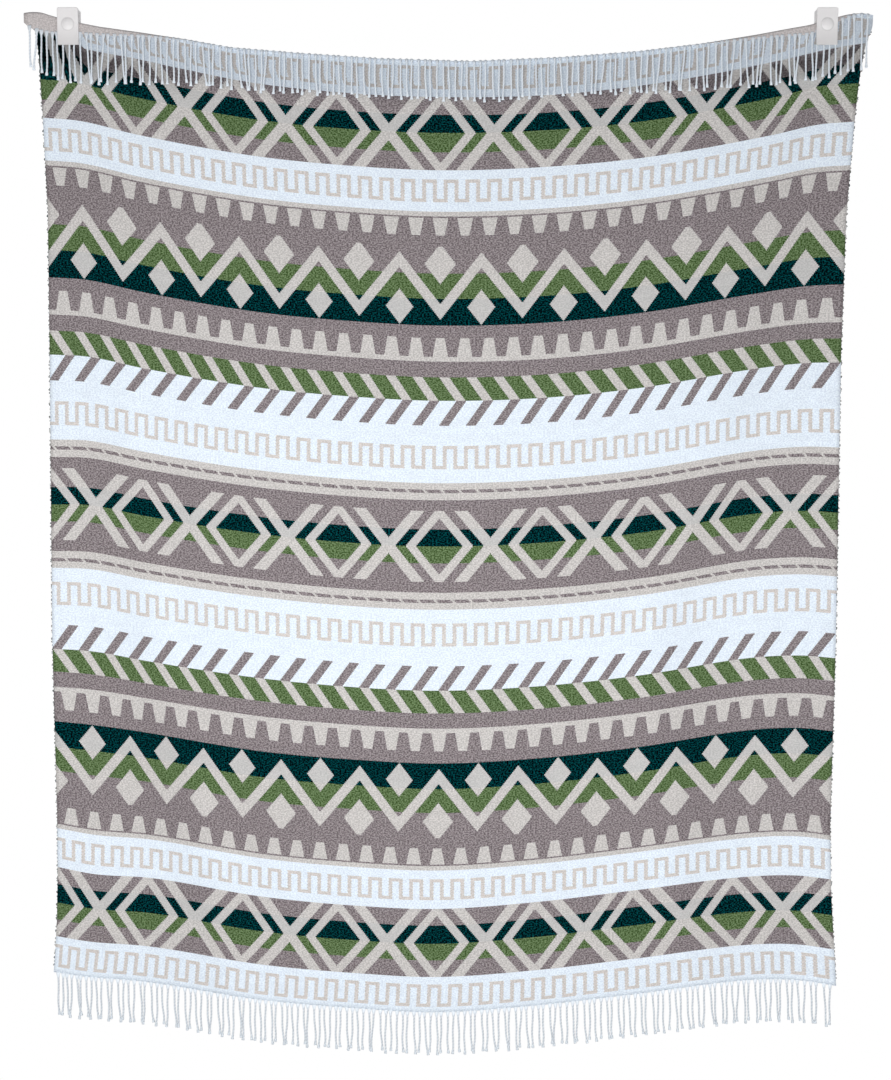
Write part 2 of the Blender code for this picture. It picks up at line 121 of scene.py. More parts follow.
# A cubic through a table's rows, its slope at a row halfway between the slopes on either side.
def curve(at, knots, values):
    at, knots, values = (np.asarray(a, float) for a in (at, knots, values))
    step = np.diff(knots)
    slope = np.diff(values) / step
    tangent = np.concatenate([slope[:1], 0.5 * (slope[1:] + slope[:-1]), slope[-1:]])
    i = np.clip(np.searchsorted(knots, at) - 1, 0, len(step) - 1)
    s = np.clip((at - knots[i]) / step[i], 0.0, 1.0)
    return ((2 * s**3 - 3 * s**2 + 1) * values[i] + (s**3 - 2 * s**2 + s) * step[i] * tangent[i]
            + (3 * s**2 - 2 * s**3) * values[i + 1] + (s**3 - s**2) * step[i] * tangent[i + 1])


# Crest height, cloth turned over and radius of the turn, read straight between the table's rows.
def topEdge(across):
    table = np.array(hang["topEdge"])
    return [np.interp(across, table[:, 0], table[:, k]) for k in (1, 2, 3)]


# How far the cloth stands forward: the sum of one bell curve across for each fold,
# whose place, depth and width change down the cloth.
def foldDepth(across, down):
    depth = np.zeros(np.broadcast(across, down).shape)
    for rows in hang["folds"].values():
        table = np.array(rows)
        place, deep, wide = (np.interp(down, table[:, 0], table[:, k]) for k in (1, 2, 3))
        depth = depth + deep * np.exp(-(((across - place) / wide) ** 2) / 2)
    return depth


# A table's value: each row a smooth curve across, read straight between the rows down the cloth.
def tableAt(across, down, spread, table, above=None):
    rows = [curve(across, spread, row[1:]) for row in table]
    knots = [row[0] for row in table]
    value = rows[0] if above is None else above
    for k in range(len(rows) - 1):
        share = np.clip((down - knots[k]) / (knots[k + 1] - knots[k]), 0.0, 1.0)
        value = np.where(down > knots[k], rows[k] + share * (rows[k + 1] - rows[k]), value)
    return value


# Height of the front layer: from the crest straight to the first row of the table, and then by the table.
def hangHeight(across, down):
    crest, turned, radius = topEdge(across)
    table = hang["heights"]
    start = crest - radius - hang["thick"] / 2
    first = curve(across, hang["spread"], table[0][1:])
    share = np.clip((down - turned) / (table[0][0] - turned), 0.0, 1.0)
    height = tableAt(across, down, hang["spread"], table, above=start + share * (first - start))
    return height - np.clip(down - table[-1][0], 0.0, None)


# Sideways place: between the two side edges, with each yarn's drift.
def hangSide(across, down):
    sides = np.array(hang["sides"])
    left, right = (np.interp(down, sides[:, 0], sides[:, k]) for k in (1, 2))
    share = across + tableAt(across, down, hang["driftSpread"], hang["drift"])
    top = hang["topMiddle"] + hang["topHalf"] * share
    hung = left + (right - left) * (share + 1) / 2
    return top + (hung - top) * np.clip(down / 0.03, 0.0, 1.0)


# A point of the cloth's middle layer: down the front, or for what is turned over, round an arc
# at the crest and then straight down in front of it.
def clothPoint(across, down):
    across, down = np.broadcast_arrays(np.asarray(across, float), np.asarray(down, float))
    crest, turned, radius = topEdge(across)
    back = turned - down
    arc = np.clip(back, 0.0, np.pi * radius)
    over = np.clip(back - np.pi * radius, 0.0, None)
    x = hangSide(across, np.maximum(down, turned))
    z = np.where(back > 0, crest - radius - hang["thick"] / 2 + radius * np.sin(arc / radius) - over,
                 hangHeight(across, down))
    # the tables hold places as the eye sees them, so a fold is drawn in toward the eye as it stands forward
    depth = foldDepth(across, np.where(back > 0, turned + over, down))
    eyeX, eyeAway, eyeZ = hang["eye"]
    x = x + (eyeX - x) * depth / eyeAway
    z = z + (eyeZ - z) * depth / eyeAway
    y = hang["heldAtY"] - depth - radius * (1 - np.cos(arc / radius))
    return np.stack([x, y, z], axis=-1)


# Unit normal on the patterned side: the cross product of two short steps along the cloth.
def clothNormal(across, down):
    step = 2e-4
    along = clothPoint(across + step, down) - clothPoint(across - step, down)
    fall = clothPoint(across, down + step) - clothPoint(across, down - step)
    normal = np.cross(fall, along)
    return normal / np.linalg.norm(normal, axis=-1, keepdims=True)


# Mesh helpers
# Quads of a grid of rows by columns, as whole arrays.
def gridFaces(rows, cols, closed=False, start=0):
    r = np.arange(rows - 1)[:, None] * cols
    c = np.arange(cols if closed else cols - 1)[None, :]
    right = (c + 1) % cols
    return (start + np.stack([r + c, r + right, r + cols + right, r + cols + c], axis=-1)).reshape(-1, 4)


# A mesh object from whole arrays: points, quads, flat coordinates, material slots and each point's painted
# shading.
def newPiece(name, verts, faces, uv=None, faceSlot=None, smooth=True, mats=(), paintedShading=None):
    mesh = bpy.data.meshes.new(name)
    faces = np.asarray(faces, dtype=np.int32)
    mesh.vertices.add(len(verts))
    mesh.vertices.foreach_set("co", np.asarray(verts, np.float32).ravel())
    mesh.loops.add(faces.size)
    mesh.loops.foreach_set("vertex_index", faces.ravel())
    mesh.polygons.add(len(faces))
    mesh.polygons.foreach_set("loop_start", np.arange(0, faces.size, faces.shape[1], dtype=np.int32))
    mesh.update(calc_edges=True)
    if uv is not None:
        layer = mesh.uv_layers.new(name="flat")
        layer.data.foreach_set("uv", np.asarray(uv, np.float32)[faces.ravel()].ravel())
    if paintedShading is not None:
        shadingLayer = mesh.attributes.new("paintedShading", "FLOAT", "POINT")
        shadingLayer.data.foreach_set("value", np.asarray(paintedShading, np.float32).ravel())
    for mat in mats:
        mesh.materials.append(mat)
    if faceSlot is not None:
        mesh.polygons.foreach_set("material_index", np.asarray(faceSlot, np.int32))
    mesh.polygons.foreach_set("use_smooth", np.array(np.broadcast_to(smooth, len(faces))))
    mesh.validate()
    piece = bpy.data.objects.new(name, mesh)
    bpy.context.scene.collection.objects.link(piece)
    return piece


# Node helpers
# Puts a number, a colour or another node's output into a socket.
def feed(tree, value, socket):
    if isinstance(value, (int, float, tuple)):
        socket.default_value = value
    else:
        tree.links.new(value, socket)


# One math node: the operation on the values, in their order.
def calc(tree, operation, *values):
    node = tree.nodes.new("ShaderNodeMath")
    node.operation = operation
    for value, socket in zip(values, node.inputs):
        feed(tree, value, socket)
    return node.outputs[0]


# A colour between two: first times (1 - share) plus second times share.
def mixColour(tree, share, first, second):
    node = tree.nodes.new("ShaderNodeMix")
    node.data_type = "RGBA"
    feed(tree, share, node.inputs[0])
    feed(tree, first, node.inputs[6])
    feed(tree, second, node.inputs[7])
    return node.outputs[2]


# An empty node group with named inputs and outputs, and the sockets inside it.
def newGroup(name, inputs, outputs):
    group = bpy.data.node_groups.new(name, "ShaderNodeTree")
    for label, kind, start in inputs:
        socket = group.interface.new_socket(name=label, in_out="INPUT", socket_type=kind)
        if start is not None:
            socket.default_value = start
    for label in outputs:
        group.interface.new_socket(name=label, in_out="OUTPUT", socket_type="NodeSocketFloat")
    return group, group.nodes.new("NodeGroupInput").outputs, group.nodes.new("NodeGroupOutput").inputs


# A node group placed in a material, its inputs fed by name.
def placeGroup(tree, group, **values):
    node = tree.nodes.new("ShaderNodeGroup")
    node.node_tree = group
    for label, value in values.items():
        feed(tree, value, node.inputs[label])
    return node.outputs


# The woven bands
# Distances in metres. Heights are from the cloth's cross centre line, and the bands mirror about it.
bands = {
    "latticeRepeat": 0.15875, "latticeReach": 0.0546, "latticeSlope": 1.2, "tealBand": 0.0273,
    "greenBand": 0.0276, "diamondOuter": 0.0526, "diamondInner": 0.0366, "crossHalf": 0.0103,
    "innerBeige": (0.0727, 0.0982), "dash": (0.0831, 0.0882), "dashRepeat": 0.0273, "dashHalf": 0.415,
    "dashLean": 0.9,
    "whites": ((0.0982, 0.2246), (0.5130, 0.5760), (0.6830, 0.8000)),
    "keys": ((0.1227, 0.1536), (0.5305, 0.5595), (0.6986, 0.7292)), "keyRepeat": 0.0330, "keyLine": 0.0050,
    "keyRiser": 0.0060,
    "bars": (0.1879, 0.2246, 0.2628), "barRepeat": 0.0420, "barHalf": 0.0078, "barLean": 0.72,
    "barUpper": 0.0330, "barLower": 0.0071,
    "teethNear": (0.2854, 0.2939, 0.3212), "teethNearHalf": (0.01185, 0.00695), "teethRepeat": 0.0379,
    "teethFar": (0.4787, 0.5052, 0.5130), "teethFarHalf": (0.00675, 0.01235),
    "zigzag": (0.3415, 0.3805, 0.4204, 0.4620), "zigzagRepeat": 0.1270, "zigzagHalf": 0.0118,
    "zigzagLift": 0.020, "zigzagSlope": 1.24,
    # each lozenge: height above its band's line, reach sideways
    "highLozenge": (0.014, 0.0245), "lowLozenge": (0.027, 0.0215), "lozengeLean": 0.80,
    "outerLattice": (0.5760, 0.6305, 0.6830),
    "row": 0.0024, "ragged": 0.0008,
}


# The pattern as masks: the distance down the flat cloth is snapped to single rows, then each band is a test
# on that row's distance from the centre line and on the place within its repeat.
def makeBandPattern():
    group, given, out = newGroup("wovenBands",
                                 [("Across", "NodeSocketFloat", 0.0), ("Down", "NodeSocketFloat", 0.0)],
                                 ("White", "Beige", "Key", "Green", "Teal"))
    c = lambda operation, *values: calc(group, operation, *values)
    both = lambda a, b: c("MULTIPLY", a, b)
    either = lambda a, b: c("MAXIMUM", a, b)
    inside = lambda a, low, high: both(c("GREATER_THAN", a, low), c("LESS_THAN", a, high))
    snap = lambda a, cell: c("MULTIPLY", c("ADD", c("FLOOR", c("DIVIDE", a, cell)), 0.5), cell)
    # distance from the nearest centre of a repeat; the whole number keeps the share above zero
    inRepeat = lambda a, repeat: c("FRACT", c("ADD", c("DIVIDE", a, repeat), 100.5))
    fromCentre = lambda a, repeat: both(c("ABSOLUTE", c("SUBTRACT", inRepeat(a, repeat), 0.5)), repeat)
    b = bands
    s = snap(c("SUBTRACT", hang["length"] / 2, given["Down"]), b["row"])
    u = given["Across"]
    h = c("ABSOLUTE", s)
    upper = c("GREATER_THAN", s, 0.0)

    # diamonds and crosses, in the centre band and again in each outer one
    outer = inside(h, b["outerLattice"][0], b["outerLattice"][2])
    centre = both(both(c("SIGN", s), b["outerLattice"][1]), outer)
    t = c("SUBTRACT", s, centre)
    lattice = either(outer, c("LESS_THAN", h, b["latticeReach"]))
    fromDiamond = fromCentre(u, b["latticeRepeat"])
    rise = c("DIVIDE", c("ABSOLUTE", t), b["latticeSlope"])
    diamond = inside(c("ADD", fromDiamond, rise), b["diamondInner"], b["diamondOuter"])
    fromCross = c("SUBTRACT", b["latticeRepeat"] / 2, fromDiamond)
    cross = c("LESS_THAN", c("ABSOLUTE", c("SUBTRACT", fromCross, rise)), b["crossHalf"])
    latticeBeige = both(either(diamond, cross), lattice)
    tealSide = both(inside(t, 0.0, b["tealBand"]), lattice)
    greenSide = both(inside(t, -b["greenBand"], 0.0), lattice)

    # beige stripe with dashes, and the white grounds
    fine = c("ABSOLUTE", c("SUBTRACT", hang["length"] / 2, given["Down"]))
    leaning = c("ADD", c("ADD", u, b["dashRepeat"] / 2), both(s, b["dashLean"]))
    dashes = both(inside(fine, *b["dash"]),
                  c("LESS_THAN", fromCentre(leaning, b["dashRepeat"]), b["dashHalf"] * b["dashRepeat"]))
    stripe = both(inside(h, *b["innerBeige"]), c("SUBTRACT", 1.0, dashes))
    white = either(either(inside(h, *b["whites"][0]), inside(h, *b["whites"][1])), inside(h, *b["whites"][2]))

    # the key: a square wave drawn with one line, nearest the centre line at the cloth's middle
    half, line, thick = b["keyRepeat"] / 4, b["keyLine"] / 2, b["keyRiser"] / 2
    # every other row of stitches stands a little aside, which leaves the drawn line ragged
    oddRow = c("GREATER_THAN", c("FRACT", c("DIVIDE", s, 2 * b["row"])), 0.5)
    fromKey = fromCentre(c("ADD", u, both(oddRow, b["ragged"])), b["keyRepeat"])
    key = None
    for near, far in b["keys"]:
        nearLine = both(c("LESS_THAN", c("ABSOLUTE", c("SUBTRACT", fine, near)), line),
                        c("LESS_THAN", fromKey, half + thick))
        farLine = both(c("LESS_THAN", c("ABSOLUTE", c("SUBTRACT", fine, far)), line),
                       c("GREATER_THAN", fromKey, half - thick))
        riser = both(c("LESS_THAN", c("ABSOLUTE", c("SUBTRACT", fromKey, half)), thick),
                     inside(fine, near - line, far + line))
        one = either(either(nearLine, farLine), riser)
        key = one if key is None else either(key, one)

    # slanted bars that meet in chevrons, beige on green and taupe on white
    fromVertex = both(c("ABSOLUTE", c("SUBTRACT", h, b["bars"][1])), b["barLean"])
    shift = c("ADD", both(upper, c("SUBTRACT", b["barUpper"], fromVertex)),
              both(c("SUBTRACT", 1.0, upper), c("ADD", b["barLower"], fromVertex)))
    bar = c("LESS_THAN", fromCentre(c("SUBTRACT", u, shift), b["barRepeat"]), b["barHalf"])
    greenGround = inside(h, b["bars"][1], b["bars"][2])
    barBeige = both(bar, greenGround)
    barTaupe = both(bar, inside(h, b["bars"][0], b["bars"][1]))

    # two rows of teeth, each with its strip
    fromTooth = fromCentre(u, b["teethRepeat"])
    def teeth(low, high, halves):
        share = c("DIVIDE", c("SUBTRACT", h, low), high - low)
        width = c("ADD", halves[0], both(share, halves[1] - halves[0]))
        return both(inside(h, low, high), c("LESS_THAN", fromTooth, width))
    strips = either(inside(h, *b["teethNear"][:2]), inside(h, *b["teethFar"][1:]))
    toothed = either(teeth(*b["teethNear"][1:], b["teethNearHalf"]),
                     teeth(*b["teethFar"][:2], b["teethFarHalf"]))

    # wide zigzag with a small lozenge in each bend
    z = b["zigzag"]
    fromBend = fromCentre(u, b["zigzagRepeat"])
    lineHeight = c("ADD", z[0] + b["zigzagLift"], both(fromBend, b["zigzagSlope"]))
    fromLine = c("ABSOLUTE", c("SUBTRACT", h, lineHeight))
    zig = both(c("LESS_THAN", fromLine, b["zigzagHalf"]), inside(h, z[0], z[3]))
    def lozenge(beside, height, reach):
        above = both(c("ABSOLUTE", c("SUBTRACT", h, height)), b["lozengeLean"])
        return c("LESS_THAN", c("ADD", beside, above), reach)
    (highUp, highReach), (lowUp, lowReach) = b["highLozenge"], b["lowLozenge"]
    highLozenge = lozenge(fromBend, z[2] + highUp, highReach)
    lowLozenge = lozenge(c("SUBTRACT", b["zigzagRepeat"] / 2, fromBend), z[0] + lowUp, lowReach)
    zigBeige = both(either(zig, either(highLozenge, lowLozenge)), inside(h, z[0], z[3]))
    zigTeal, zigGreen = inside(h, z[0], z[1]), inside(h, z[1], z[2])

    beige = either(either(either(latticeBeige, stripe), barBeige), either(either(strips, toothed), zigBeige))
    group.links.new(both(white, c("SUBTRACT", 1.0, either(barTaupe, key))), out["White"])
    group.links.new(beige, out["Beige"])
    group.links.new(key, out["Key"])
    group.links.new(either(either(greenSide, zigGreen), greenGround), out["Green"])
    group.links.new(either(tealSide, zigTeal), out["Teal"])
    return group


# Yarn texture. Pick and end are the pitches of the crosswise and the lengthwise yarns; each fleck has its
# scale across and down, its detail and its roughness.
weaveSizes = {"pick": 0.0016, "end": 0.0018, "fleck": (350.0, 540.0, 2.0, 0.5),
              "softFleck": (38.0, 90.0, 3.0, 0.55), "ridge": 0.35}


# Crosswise floats as a stretched noise, and a small over-and-under relief from two sine waves multiplied.
def makeYarnWeave():
    group, given, out = newGroup("yarnWeave",
                                 [("Flat", "NodeSocketVector", None),
                                  ("Pick", "NodeSocketFloat", weaveSizes["pick"]),
                                  ("End", "NodeSocketFloat", weaveSizes["end"])],
                                 ("Fleck", "Soft fleck", "Height"))
    c = lambda operation, *values: calc(group, operation, *values)
    split = group.nodes.new("ShaderNodeSeparateXYZ")
    group.links.new(given["Flat"], split.inputs[0])
    u, v = split.outputs[0], split.outputs[1]
    def noise(scaleU, scaleV, detail, rough):
        joined = group.nodes.new("ShaderNodeCombineXYZ")
        feed(group, c("MULTIPLY", u, scaleU), joined.inputs[0])
        feed(group, c("MULTIPLY", v, scaleV), joined.inputs[1])
        node = group.nodes.new("ShaderNodeTexNoise")
        node.noise_dimensions = "2D"
        for label, number in (("Scale", 1.0), ("Detail", detail), ("Roughness", rough)):
            node.inputs[label].default_value = number
        group.links.new(joined.outputs[0], node.inputs["Vector"])
        return node.outputs[0]
    wave = lambda place, pitch: c("SINE", c("DIVIDE", c("MULTIPLY", place, 2 * math.pi), pitch))
    fleck = noise(*weaveSizes["fleck"])
    ridges = c("MULTIPLY", c("MULTIPLY", wave(u, given["End"]), wave(v, given["Pick"])), weaveSizes["ridge"])
    group.links.new(fleck, out["Fleck"])
    group.links.new(noise(*weaveSizes["softFleck"]), out["Soft fleck"])
    group.links.new(c("ADD", ridges, fleck), out["Height"])
    return group


# Colours of the yarns: each a dark and a light end of its heather.
yarns = {
    "white": ((0.690, 0.760, 0.860, 1), (0.860, 0.935, 1.0, 1)),
    "beige": ((0.475, 0.450, 0.434, 1), (0.685, 0.656, 0.634, 1)),
    "key": ((0.550, 0.512, 0.488, 1), (0.720, 0.674, 0.645, 1)),
    "taupe": ((0.138, 0.113, 0.119, 1), (0.352, 0.310, 0.318, 1)),
    "green": ((0.040, 0.076, 0.020, 1), (0.172, 0.250, 0.118, 1)),
    "teal": ((0.0, 0.0, 0.001, 1), (0.0, 0.066, 0.074, 1)),
    "back": ((0.480, 0.440, 0.430, 1), (0.660, 0.610, 0.600, 1)),
}


# Flecks: the part of the noise that runs from a yarn's dark end to its light one. Reliefs: strength, and
# depth in metres.
clothFinish = {
    "fleck": (0.40, 0.60), "tealFleck": (0.47, 0.62), "backFleck": (0.38, 0.62), "softFleck": (0.92, 1.06),
    "tealThrough": 0.45, "coolBeige": (0.49, 0.50, 0.50, 1), "beigeLift": 0.55, "backDark": 0.74,
    "relief": (0.6, 0.0007), "backRelief": (0.5, 0.0007), "roughness": 0.95, "specular": 0.02,
}


# A new material, its node tree and its Principled shader.
def blankShader(name):
    mat = bpy.data.materials.new(name)
    mat.use_nodes = True
    return mat, mat.node_tree, mat.node_tree.nodes["Principled BSDF"]


# Noise over the given coordinates.
def noiseOver(tree, place, scale, detail=2.0):
    node = tree.nodes.new("ShaderNodeTexNoise")
    node.inputs["Scale"].default_value, node.inputs["Detail"].default_value = scale, detail
    tree.links.new(place, node.inputs["Vector"])
    return node.outputs[0]


# Object coordinates, whole and split into their three axes.
def objectPlace(tree):
    place = tree.nodes.new("ShaderNodeTexCoord").outputs["Object"]
    split = tree.nodes.new("ShaderNodeSeparateXYZ")
    tree.links.new(place, split.inputs[0])
    return place, split.outputs


# A relief from a height, by a bump into the shader's normal.
def raiseRelief(tree, shader, height, strength, distance):
    bump = tree.nodes.new("ShaderNodeBump")
    bump.inputs["Strength"].default_value = strength
    bump.inputs["Distance"].default_value = distance
    tree.links.new(height, bump.inputs["Height"])
    tree.links.new(bump.outputs[0], shader.inputs["Normal"])


# Sets what all the yarns share: matt, with a relief.
def finishYarn(tree, shader, height, strength, distance):
    shader.inputs["Roughness"].default_value = clothFinish["roughness"]
    shader.inputs["Specular IOR Level"].default_value = clothFinish["specular"]
    raiseRelief(tree, shader, height, strength, distance)


# Multiplies a colour by a number.
def tint(tree, colour, share):
    node = tree.nodes.new("ShaderNodeVectorMath")
    node.operation = "SCALE"
    tree.links.new(colour, node.inputs[0])
    feed(tree, share, node.inputs["Scale"])
    return node.outputs[0]


# Carries a value from one range to another in a straight line, held at the ends.
def spread(tree, value, fromLow, fromHigh, toLow=0.0, toHigh=1.0):
    node = tree.nodes.new("ShaderNodeMapRange")
    feed(tree, value, node.inputs["Value"])
    ranges = {"From Min": fromLow, "From Max": fromHigh, "To Min": toLow, "To Max": toHigh}
    for label, number in ranges.items():
        node.inputs[label].default_value = number
    return node.outputs[0]


# A point's painted shading, kept in its mesh: 1 in the open and less where little light reaches it.
def paintedShadingOf(tree):
    node = tree.nodes.new("ShaderNodeAttribute")
    node.attribute_name = "paintedShading"
    return node.outputs["Fac"]


# The bands' masks and the weave, both on the flat cloth's coordinates.
def wovenOnCloth(tree, bandGroup, weaveGroup):
    uv = tree.nodes.new("ShaderNodeUVMap")
    uv.uv_map = "flat"
    split = tree.nodes.new("ShaderNodeSeparateXYZ")
    tree.links.new(uv.outputs[0], split.inputs[0])
    masks = placeGroup(tree, bandGroup, Across=split.outputs[0], Down=split.outputs[1])
    return masks, placeGroup(tree, weaveGroup, Flat=uv.outputs[0])


# The front: a taupe ground with each band's yarn laid over it by its mask, times the soft fleck and the
# painted shade.
def clothMaterial(bandGroup, weaveGroup):
    mat, tree, shader = blankShader("wovenCloth")
    masks, weave = wovenOnCloth(tree, bandGroup, weaveGroup)
    fleck = spread(tree, weave["Fleck"], *clothFinish["fleck"])
    speck = spread(tree, weave["Fleck"], *clothFinish["tealFleck"])
    heather = {name: mixColour(tree, speck if name == "teal" else fleck, dark, light)
               for name, (dark, light) in yarns.items() if name != "back"}
    colour = heather["taupe"]
    for band in ("Green", "Teal", "White", "Beige", "Key"):
        colour = mixColour(tree, masks[band], colour, heather[band.lower()])
    # beige floats over the dark teal let a little of it through
    overTeal = calc(tree, "MULTIPLY", masks["Beige"], masks["Teal"])
    cool = calc(tree, "MULTIPLY", overTeal, clothFinish["tealThrough"])
    colour = mixColour(tree, cool, colour, clothFinish["coolBeige"])
    colour = tint(tree, colour, spread(tree, weave["Soft fleck"], 0.0, 1.0, *clothFinish["softFleck"]))
    # the painted shade darkens the raised beige floats less than the ground
    paintedShading = paintedShadingOf(tree)
    lifted = calc(tree, "MULTIPLY", masks["Beige"], clothFinish["beigeLift"])
    shade = calc(tree, "ADD", paintedShading, calc(tree, "MULTIPLY", lifted, calc(tree, "SUBTRACT", 1.0, paintedShading)))
    tree.links.new(tint(tree, colour, shade), shader.inputs["Base Color"])
    finishYarn(tree, shader, weave["Height"], *clothFinish["relief"])
    return mat


# The back shows the heather of the floats behind, with the dark bands of the front faint in it.
def backMaterial(bandGroup, weaveGroup):
    mat, tree, shader = blankShader("clothBack")
    masks, weave = wovenOnCloth(tree, bandGroup, weaveGroup)
    colour = mixColour(tree, spread(tree, weave["Fleck"], *clothFinish["backFleck"]), *yarns["back"])
    pale = calc(tree, "MAXIMUM", masks["White"], calc(tree, "MAXIMUM", masks["Beige"], masks["Key"]))
    colour = tint(tree, colour, spread(tree, pale, 0.0, 1.0, clothFinish["backDark"], 1.0))
    # times the painted shade, a thin dark line along the crest
    tree.links.new(tint(tree, colour, paintedShadingOf(tree)), shader.inputs["Base Color"])
    finishYarn(tree, shader, weave["Height"], *clothFinish["backRelief"])
    return mat


# The yarn colours along the selvedge, each from its share of the noise on.
selvedgeFinish = {
    "noiseScale": 170.0, "relief": (0.3, 0.0003),
    "stops": ((0.0, (0.0, 0.03, 0.04, 1)), (0.47, (0.16, 0.17, 0.14, 1)), (0.54, (0.30, 0.28, 0.27, 1)),
              (0.61, (0.62, 0.66, 0.70, 1))),
}


# The selvedge's loops: each short stretch of edge has the colour of one of the yarns carried round it.
def selvedgeMaterial():
    mat, tree, shader = blankShader("selvedgeYarn")
    place, _ = objectPlace(tree)
    noise = noiseOver(tree, place, selvedgeFinish["noiseScale"])
    ramp = tree.nodes.new("ShaderNodeValToRGB")
    ramp.color_ramp.interpolation = "CONSTANT"
    stops = selvedgeFinish["stops"]
    for at, colour in stops[2:]:
        ramp.color_ramp.elements.new(at).color = colour
    for element, (at, colour) in zip(sorted(ramp.color_ramp.elements, key=lambda e: e.position), stops):
        element.position, element.color = at, colour
    tree.links.new(noise, ramp.inputs[0])
    tree.links.new(ramp.outputs[0], shader.inputs["Base Color"])
    finishYarn(tree, shader, noise, *selvedgeFinish["relief"])
    return mat


# Painted shade on the lower fringe: two heights, and the share of light left below the first.
fringeFinish = {"dark": (0.74, 0.81, 0.89, 1), "light": (0.93, 0.97, 1.0, 1), "noiseScale": 900.0,
                "lower": (-1.44, -1.40, 0.84), "relief": (0.4, 0.0004)}


# Fine cool-white yarn, with painted shade that makes the lower fringe a little greyer; a strand's painted
# shading shades its plies and its root.
def fringeMaterial():
    mat, tree, shader = blankShader("fringeYarn")
    place, axes = objectPlace(tree)
    noise = noiseOver(tree, place, fringeFinish["noiseScale"])
    colour = mixColour(tree, noise, fringeFinish["dark"], fringeFinish["light"])
    # painted shade: the lower fringe a little darker
    colour = tint(tree, colour, spread(tree, axes[2], *fringeFinish["lower"]))
    tree.links.new(tint(tree, colour, paintedShadingOf(tree)), shader.inputs["Base Color"])
    finishYarn(tree, shader, noise, *fringeFinish["relief"])
    return mat


# Painted shade down the foot: two heights, and the share of light left at the lower one. Painted shade in the
# groove: how far it reaches beside the button's rim, and the share of light left there.
clip = {
    "x": 0.575, "buttonZ": 0.0025, "buttonRadius": 0.0095, "grooveShade": (0.0012, 0.84),
    "footShade": (-0.028, 0.006, 0.80), "dark": (0.83, 0.805, 0.80, 1), "light": (0.88, 0.855, 0.85, 1),
    "mottleScale": 60.0, "mottleDetail": 3.0, "grainScale": 1600.0, "grain": (0.12, 0.0003),
    "roughness": 0.42,
}


# Moulded off-white plastic: fine grain, with painted shade darker down its foot and in the groove round its
# button.
def clipMaterial():
    mat, tree, shader = blankShader("clipPlastic")
    place, axes = objectPlace(tree)
    side = calc(tree, "SUBTRACT", calc(tree, "ABSOLUTE", axes[0]), clip["x"])
    high = calc(tree, "SUBTRACT", axes[2], clip["buttonZ"])
    squares = [calc(tree, "MULTIPLY", value, value) for value in (side, high)]
    reach = calc(tree, "SQRT", calc(tree, "ADD", *squares))
    fromRim = calc(tree, "ABSOLUTE", calc(tree, "SUBTRACT", reach, clip["buttonRadius"]))
    mottle = noiseOver(tree, place, clip["mottleScale"], clip["mottleDetail"])
    colour = mixColour(tree, mottle, clip["dark"], clip["light"])
    # painted shade: darker down the foot and in the groove round the button
    colour = tint(tree, colour, spread(tree, axes[2], *clip["footShade"]))
    colour = tint(tree, colour, spread(tree, fromRim, 0.0, *clip["grooveShade"]))
    tree.links.new(colour, shader.inputs["Base Color"])
    shader.inputs["Roughness"].default_value = clip["roughness"]
    raiseRelief(tree, shader, noiseOver(tree, place, clip["grainScale"]), *clip["grain"])
    return mat


bandGroup, weaveGroup = makeBandPattern(), makeYarnWeave()
clothFront, clothBack = clothMaterial(bandGroup, weaveGroup), backMaterial(bandGroup, weaveGroup)
fringeYarn, selvedgeYarn, clipPlastic = fringeMaterial(), selvedgeMaterial(), clipMaterial()
print("materials made")

# The cloth
cloth = {
    "columns": 190, "frontRows": 205, "turnRows": 10, "flapRows": 8, "flatWidth": 1.26,
    # shares of light lost in the painted shade, and the places, across or down the cloth, where each painted
    # shadow sets in or ends
    "fringeShade": 0.16, "fringeEnd": (0.052, 0.078), "cornerShade": 0.55, "cornerSide": (0.50, 0.80),
    "cornerStart": (0.056, 0.064), "cornerEnd": (0.080, 0.100), "tuckShade": 0.55, "tuckSide": (0.870, 0.890),
    "tuckEnd": (0.070, 0.098), "crestShade": 0.35, "crestCorner": 0.38,
}


# A smooth step from 0 at the first value to 1 at the second.
def ease(value, low, high):
    share = np.clip((value - low) / (high - low), 0.0, 1.0)
    return share * share * (3 - 2 * share)


# Painted shade where the cloth lies close under something, as the share of light that reaches it, for its
# front
# and for its back: the fringe shades the first white band, the turn shades the taupe towards the corners, the
# left corner is tucked back into shadow, and on the back, which is outside at the turn, a thin line along the
# crest is painted dark.
def clothPaintedShading(across, down):
    crest, turned, radius = topEdge(across)
    front = down > turned
    side = ease(np.abs(across), *cloth["cornerSide"])
    underFringe = cloth["fringeShade"] * (1 - ease(down, *cloth["fringeEnd"])) * front
    corner = (cloth["cornerShade"] * side * ease(down, *cloth["cornerStart"])
              * (1 - ease(down, *cloth["cornerEnd"])) * front)
    tucked = (cloth["tuckShade"] * ease(-across, *cloth["tuckSide"])
              * (1 - ease(down, *cloth["tuckEnd"])) * front)
    fromCrest = (down - turned + 1.95 * radius) / (0.30 * radius)
    crestLine = (cloth["crestShade"] + cloth["crestCorner"] * side) * np.exp(-(fromCrest ** 2))
    return (1 - underFringe) * (1 - corner) * (1 - tucked), 1 - crestLine


# At the left corner a small tuck hides some of the cloth's length: how much, fading out down the cloth.
def tuckedLength(across, down):
    deep = 0.026 * ease(-across, 0.872, 0.892) + 0.022 * ease(-across, 0.915, 0.928)
    return deep * (1 - np.clip((down - 0.034) / 0.072, 0.0, 1.0)) * (down > 0.032)


